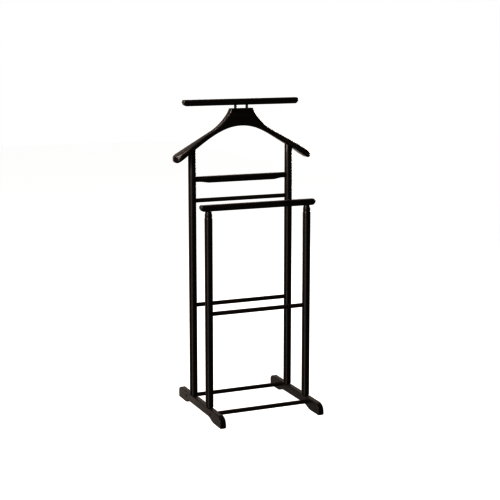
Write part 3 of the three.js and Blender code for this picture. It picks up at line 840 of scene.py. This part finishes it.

# %% [markdown]
# ## Blackened steel
# The screws and bolts are steel with a black oxide finish. It is thin, so the worn rims and the walls of
# the sockets shine through a little, and fine turning marks and a faint mottle break up the gloss.

# %% Blackened steel for screws and bolts
def blackened_steel(name, centre):
    material, tree = new_material(name)
    place = add_node(tree, "ShaderNodeTexCoord").outputs["Object"]
    local = add_node(tree, "ShaderNodeMapping", (
        ("Vector", place), ("Location", centre)), vector_type="TEXTURE").outputs["Vector"]
    mottle = add_node(tree, "ShaderNodeTexNoise", (
        ("Vector", local), ("Scale", 900), ("Detail", 5), ("Roughness", 0.65))).outputs["Fac"]
    marks = add_node(tree, "ShaderNodeTexNoise", (
        ("Vector", local), ("Scale", 4200), ("Detail", 2))).outputs["Fac"]
    oxide = shade_between(tree, mottle, (0.018, 0.018, 0.020), (0.060, 0.060, 0.064))
    edges = add_node(tree, "ShaderNodeNewGeometry").outputs["Pointiness"]
    worn = span_of(tree, edges, 0.54, 0.66, 0, 0.6)
    colour = shade_between(tree, worn, oxide, (0.30, 0.30, 0.31))
    rough = span_of(tree, mottle, 0.3, 0.7, 0.30, 0.48)
    bump = add_node(tree, "ShaderNodeBump", (("Height", marks), ("Strength", 0.25), ("Distance", 0.02 * MM)))
    shader = add_node(tree, "ShaderNodeBsdfPrincipled", (
        ("Base Color", colour), ("Metallic", 0.85), ("Roughness", rough), ("Normal", bump.outputs["Normal"])))
    add_node(tree, "ShaderNodeOutputMaterial", (("Surface", shader.outputs["BSDF"]),))
    return material


for fastener in fasteners:
    fastener.data.materials.append(blackened_steel(f"oxide_{fastener.name}", middle_of(fastener)))
print("blackened", len(fasteners), "screws and bolts")

# %% [markdown]
# ## Bare beech and brass
# The dowels inside the joints are bare beech, pale and slightly pink with fine darker flecks, and the
# threaded sleeves in the posts are brass. Their plain shapes are right already, so those parts of the frame
# stay, and only get their real finish.

# %% Bare beech for the dowels
def bare_beech(name, centre):
    material, tree = new_material(name)
    space = wood_space(tree, centre, "Z")
    fibres = stretched(tree, space, 0.9, 30)
    flecks = span_of(tree, stretched(tree, space, 0.35, 3, 4), 0.58, 0.72, 0, 0.7)
    colour = shade_between(tree, fibres, (0.47, 0.30, 0.17), (0.68, 0.49, 0.31))
    colour = shade_between(tree, flecks, colour, (0.30, 0.17, 0.09))
    rough = span_of(tree, fibres, 0.3, 0.7, 0.55, 0.70)
    bump = add_node(tree, "ShaderNodeBump", (("Height", fibres), ("Strength", 0.4), ("Distance", 0.08 * MM)))
    shader = add_node(tree, "ShaderNodeBsdfPrincipled", (
        ("Base Color", colour), ("Roughness", rough), ("Normal", bump.outputs["Normal"])))
    add_node(tree, "ShaderNodeOutputMaterial", (("Surface", shader.outputs["BSDF"]),))
    return material


def dress(node, finish):
    """Gives a part of the frame a finish of its own, in all of its material slots."""
    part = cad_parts[node]
    for place in part.material_slots:
        place.material = finish


for side_name in SIDES:
    for node in (f"hanger_dowel_{side_name}", f"trouser_bar_dowel_{side_name}"):
        dress(node, bare_beech(f"bare_{node}", centre_of(node)))

# %% Turned brass for the threaded sleeves
def turned_brass(name, centre):
    material, tree = new_material(name)
    place = add_node(tree, "ShaderNodeTexCoord").outputs["Object"]
    local = add_node(tree, "ShaderNodeMapping", (
        ("Vector", place), ("Location", centre)), vector_type="TEXTURE").outputs["Vector"]
    rings = add_node(tree, "ShaderNodeTexWave", (
        ("Vector", local), ("Scale", 620), ("Distortion", 0.4), ("Detail", 2)),
        wave_type="BANDS", bands_direction="Z").outputs["Fac"]
    tarnish = add_node(tree, "ShaderNodeTexNoise", (
        ("Vector", local), ("Scale", 420), ("Detail", 4))).outputs["Fac"]
    colour = shade_between(tree, tarnish, (0.52, 0.34, 0.12), (0.80, 0.60, 0.30))
    rough = span_of(tree, tarnish, 0.3, 0.7, 0.24, 0.42)
    bump = add_node(tree, "ShaderNodeBump", (("Height", rings), ("Strength", 0.3), ("Distance", 0.05 * MM)))
    shader = add_node(tree, "ShaderNodeBsdfPrincipled", (
        ("Base Color", colour), ("Metallic", 1), ("Roughness", rough), ("Normal", bump.outputs["Normal"])))
    add_node(tree, "ShaderNodeOutputMaterial", (("Surface", shader.outputs["BSDF"]),))
    return material


for side_name in SIDES:
    for place in ("rear", "front"):
        node = f"post_insert_{place}_{side_name}"
        dress(node, turned_brass(f"brass_{node}", centre_of(node)))
print("dressed the dowels and sleeves that stay as they are")

# %% [markdown]
# ## The studio
# Black furniture is shown by what little light it sends back. One soft light stands high at the front left
# and lights one side of each post and the left faces of the feet, while the fronts stay black. A second one
# hangs above and draws the edges of the arms and bars, and a third, behind at the right, keeps the back of
# the stand readable. The stand is on a plain sheet of white acrylic that is lit from below, so that the
# floor is evenly pale and the shadows on it stay faint. The wood doesn't mirror this sheet, which would
# turn every lower face grey.

# %% The light table
TABLE_HALF_WIDTH = 3
TABLE_FRONT = -3
TABLE_BACK = 9
bm = bmesh.new()
bmesh.ops.create_grid(bm, x_segments=1, y_segments=1, size=1)
bmesh.ops.scale(bm, vec=(TABLE_HALF_WIDTH, (TABLE_BACK - TABLE_FRONT) / 2, 1), verts=bm.verts)
bmesh.ops.translate(bm, vec=(0, (TABLE_BACK + TABLE_FRONT) / 2, 0), verts=bm.verts)
bmesh.ops.bevel(bm, geom=bm.verts[:], offset=0.5, offset_type="OFFSET", affect="VERTICES", segments=12,
                profile=0.5, material=-1)
table_mesh = bpy.data.meshes.new("light_table")
bm.to_mesh(table_mesh)
bm.free()
table = bpy.data.objects.new("light_table", table_mesh)
table.visible_glossy = False
bpy.context.scene.collection.objects.link(table)
material, tree = new_material("lit_acrylic")
shader = add_node(tree, "ShaderNodeBsdfPrincipled", (
    ("Base Color", (0.14, 0.14, 0.14, 1)), ("Roughness", 0.9), ("Specular IOR Level", 0.0),
    ("Emission Color", (1, 1, 1, 1)), ("Emission Strength", 0.98)))
add_node(tree, "ShaderNodeOutputMaterial", (("Surface", shader.outputs["BSDF"]),))
table_mesh.materials.append(material)
print("laid a light table", 2 * TABLE_HALF_WIDTH, "m wide")

# %% The lights
WARM_WHITE = (1.0, 0.90, 0.82)


def softbox(name, place, aim, width, height, watts):
    light = bpy.data.lights.new(name, "AREA")
    light.shape = "RECTANGLE"
    light.size = width
    light.size_y = height
    light.energy = watts
    light.color = WARM_WHITE
    lamp = bpy.data.objects.new(name, light)
    lamp.location = place
    lamp.rotation_euler = (Vector(aim) - Vector(place)).to_track_quat("-Z", "Y").to_euler()
    bpy.context.scene.collection.objects.link(lamp)
    return lamp


softbox("side_softbox", (-2.8, -1.5, 2.3), (0, 0, 0.9), 0.9, 1.2, 260)
softbox("top_softbox", (-1.2, 0.9, 2.8), (0, 0, stand_height), 1.4, 1.0, 80)
softbox("back_softbox", (2.4, 1.7, 1.3), (0, 0, 0.5), 1.0, 1.6, 120)
print("hung three softboxes")

# %% [markdown]
# The air is bright to the eye. In the wood it is mirrored only from two sides: a wide bright wall behind,
# dimmer higher up, which lies along the flat tops, and a narrow one at the left, which makes the long
# highlight on each post. Elsewhere it is nearly dark, as if black cloths hung there.

# %% Bright air, mirrored from two sides
SEEN_BRIGHTNESS = 1.0
DARK_AIR = 0.006
world = bpy.data.worlds.new("studio")
world.use_nodes = True
tree = world.node_tree
tree.nodes.clear()
outward = add_node(tree, "ShaderNodeTexCoord").outputs["Generated"]


def bright_wall(towards, soft_edge, full_edge, strength):
    """Brightness round one direction. The edges are cosines of the angle away from it."""
    near = add_node(tree, "ShaderNodeVectorMath", ((0, outward), (1, towards)), operation="DOT_PRODUCT")
    return span_of(tree, near.outputs["Value"], soft_edge, full_edge, DARK_AIR, strength)


behind = bright_wall((0.06, 0.998, -0.01), 0.815, 0.95, 2.6)
height = add_node(tree, "ShaderNodeSeparateXYZ", ((0, outward),)).outputs["Z"]
dimmer_above = span_of(tree, height, 0.16, 0.34, 1, 0.25)
behind = add_node(tree, "ShaderNodeMath", ((0, behind), (1, dimmer_above)), operation="MULTIPLY").outputs[0]
beside = bright_wall((-0.79, -0.59, -0.14), 0.92, 0.985, 6.0)
mirrored = add_node(tree, "ShaderNodeMath", ((0, behind), (1, beside)), operation="ADD").outputs[0]
seen = add_node(tree, "ShaderNodeLightPath").outputs["Is Camera Ray"]
brightness = add_node(tree, "ShaderNodeMix", (
    (0, seen), (2, mirrored), (3, SEEN_BRIGHTNESS)), data_type="FLOAT")
tint = shade_between(tree, seen, (1.0, 0.90, 0.83), (1, 1, 1))
air = add_node(tree, "ShaderNodeBackground", (("Color", tint), ("Strength", brightness.outputs[0])))
add_node(tree, "ShaderNodeOutputWorld", (("Surface", air.outputs["Background"]),))
bpy.context.scene.world = world
print("the air is mirrored from two sides")

# %% Tones
DEEP_BLACKS = 0.56
bpy.context.scene.view_settings.view_transform = "Standard"
bpy.context.scene.view_settings.gamma = DEEP_BLACKS
print("tones follow the Standard view, darkened by a gamma of", DEEP_BLACKS)

# %% [markdown]
# ## The camera
# The stand is seen from the front left, from a little above its middle, through a long lens, so that its
# posts stay nearly parallel. The camera is aimed at a place on the stand's own middle line.

# %% Aim the camera
VIEW_TURN = math.radians(-23.45)
VIEW_RISE = math.radians(9.34)
VIEW_DISTANCE = 3.915
AIM_SHARE = 0.600
aim = Vector((1.7 * MM, 0, AIM_SHARE * stand_height))
back = Vector((math.sin(VIEW_TURN) * math.cos(VIEW_RISE),
               -math.cos(VIEW_TURN) * math.cos(VIEW_RISE),
               math.sin(VIEW_RISE)))
lens = bpy.data.cameras.new("camera")
lens.lens = 87.3
lens.shift_y = -0.05
camera = bpy.data.objects.new("camera", lens)
camera.location = aim + back * VIEW_DISTANCE
camera.rotation_euler = (-back).to_track_quat("-Z", "Y").to_euler()
bpy.context.scene.collection.objects.link(camera)
bpy.context.scene.camera = camera
print("the camera stands at", [round(value, 3) for value in camera.location])
